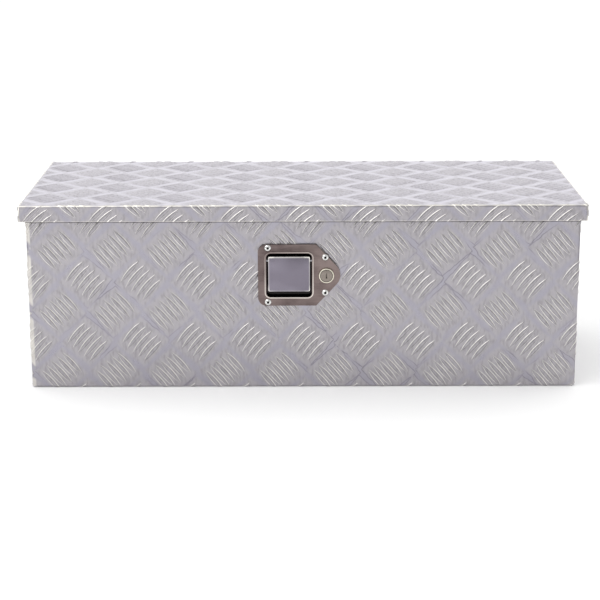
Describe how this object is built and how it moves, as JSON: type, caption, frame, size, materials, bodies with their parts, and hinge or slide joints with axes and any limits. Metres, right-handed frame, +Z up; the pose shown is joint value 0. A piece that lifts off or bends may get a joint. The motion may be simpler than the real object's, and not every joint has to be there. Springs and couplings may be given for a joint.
{
  "type": "truck tool box",
  "caption": "Lidded tread-sheet tool box with a piano-hinged lid on gas struts, a locking paddle latch, a rubber seal and folding end handles.",
  "frame": {"origin": "middle of the base, on the surface the box stands on", "axes": "+X along the width, the front with the latch faces -Y, +Z up"},
  "size_m": [0.769, 0.33, 0.256],
  "materials": {
    "tread_sheet": "bright rolled tread sheet, satin between the bars",
    "hinge_metal": "mill finish",
    "pin_steel": "drawn wire",
    "rubber": "matt extruded rubber",
    "plated_steel": "zinc plated pressing",
    "latch_stainless": "pressed stainless steel",
    "paddle_stainless": "polished stainless steel",
    "rivet_metal": "bright",
    "spring_steel": "oiled wire",
    "lock_metal": "satin plated",
    "strut_paint": "black enamel",
    "strut_chrome": "ground and plated",
    "socket_plastic": "moulded nylon",
    "handle_steel": "zinc plated"
  },
  "bodies": {
    "box": {"body_wrap": "tread_sheet", "rear_panel": "tread_sheet", "floor_pan": "tread_sheet", "hinge_leaf_body": "hinge_metal", "hinge_pin": "pin_steel", "hinge_rivets": "hinge_metal", "latch_dish": "latch_stainless", "latch_gasket": "rubber", "latch_rivets": "rivet_metal", "latch_housing": "plated_steel", "paddle_pin": "pin_steel", "paddle_spring": "spring_steel", "hook_pin": "pin_steel", "hook_spring": "spring_steel", "lock_body": "lock_metal", "lock_nut": "lock_metal", "body_stud_left": "strut_chrome", "body_bracket_left": "plated_steel", "bracket_rivets_left": "rivet_metal", "handle_plate_left": "handle_steel", "handle_rivets_left": "rivet_metal", "body_stud_right": "strut_chrome", "body_bracket_right": "plated_steel", "bracket_rivets_right": "rivet_metal", "handle_plate_right": "handle_steel", "handle_rivets_right": "rivet_metal"},
    "lid": {"lid_shell": "tread_sheet", "lid_seal": "rubber", "hinge_leaf_lid": "hinge_metal", "striker_bracket": "plated_steel", "striker_bar": "pin_steel", "lid_stud_left": "strut_chrome", "lid_bracket_left": "plated_steel", "lid_stud_right": "strut_chrome", "lid_bracket_right": "plated_steel"},
    "paddle": {"paddle": "paddle_stainless"},
    "hook": {"catch_hook": "plated_steel"},
    "lock": {"lock_plug": "lock_metal", "lock_cam": "plated_steel", "cam_screw": "rivet_metal"},
    "tube_left": {"strut_tube_left": "strut_paint", "tube_socket_left": "socket_plastic"},
    "rod_left": {"strut_rod_left": "strut_chrome", "strut_piston_left": "socket_plastic", "rod_socket_left": "socket_plastic"},
    "handle_left": {"handle_bail_left": "handle_steel", "handle_grip_left": "rubber"},
    "tube_right": {"strut_tube_right": "strut_paint", "tube_socket_right": "socket_plastic"},
    "rod_right": {"strut_rod_right": "strut_chrome", "strut_piston_right": "socket_plastic", "rod_socket_right": "socket_plastic"},
    "handle_right": {"handle_bail_right": "handle_steel", "handle_grip_right": "rubber"}
  },
  "joints": [
    {"name": "lid_hinge", "type": "hinge", "parent": "box", "child": "lid", "pos_m": [0, 0.1603, 0.231], "axis": [-1, 0, 0], "range_deg": [0, 85]},
    {"name": "strut_foot_left", "type": "hinge", "parent": "box", "child": "tube_left", "pos_m": [-0.344, 0.12249, 0.08584], "axis": [-1, 0, 0], "range_deg": [0, 42.5]},
    {"name": "strut_head_left", "type": "hinge", "parent": "lid", "child": "rod_left", "pos_m": [-0.344, 0.01078, 0.24303], "axis": [-1, 0, 0], "range_deg": [-42.5, 0]},
    {"name": "strut_foot_right", "type": "hinge", "parent": "box", "child": "tube_right", "pos_m": [0.344, 0.12249, 0.08584], "axis": [-1, 0, 0], "range_deg": [0, 42.5]},
    {"name": "strut_head_right", "type": "hinge", "parent": "lid", "child": "rod_right", "pos_m": [0.344, 0.01078, 0.24303], "axis": [-1, 0, 0], "range_deg": [-42.5, 0]},
    {"name": "paddle_pull", "type": "hinge", "parent": "box", "child": "paddle", "pos_m": [-0.019, -0.1515, 0.177], "axis": [-1, 0, 0], "range_deg": [0, 30], "stiffness_Nm_per_rad": 0.06, "springref_deg": -14.32},
    {"name": "hook_swing", "type": "hinge", "parent": "box", "child": "hook", "pos_m": [-0.019, -0.1245, 0.173], "axis": [1, 0, 0], "range_deg": [0, 18]},
    {"name": "key_turn", "type": "hinge", "parent": "box", "child": "lock", "pos_m": [0.0312, -0.157, 0.158], "axis": [0, 1, 0], "range_deg": [0, 90]},
    {"name": "handle_lift_left", "type": "hinge", "parent": "box", "child": "handle_left", "pos_m": [-0.379, 0, 0.165], "axis": [0, 1, 0], "range_deg": [0, 90]},
    {"name": "handle_lift_right", "type": "hinge", "parent": "box", "child": "handle_right", "pos_m": [0.379, 0, 0.165], "axis": [0, -1, 0], "range_deg": [0, 90]}
  ],
  "couplings": [
    {"joint": "strut_foot_left", "follows": "lid_hinge", "ratio": 0.5},
    {"joint": "strut_foot_right", "follows": "lid_hinge", "ratio": 0.5},
    {"joint": "strut_head_left", "follows": "lid_hinge", "ratio": -0.5},
    {"joint": "strut_head_right", "follows": "lid_hinge", "ratio": -0.5},
    {"joint": "hook_swing", "follows": "paddle_pull", "ratio": 0.6}
  ]
}
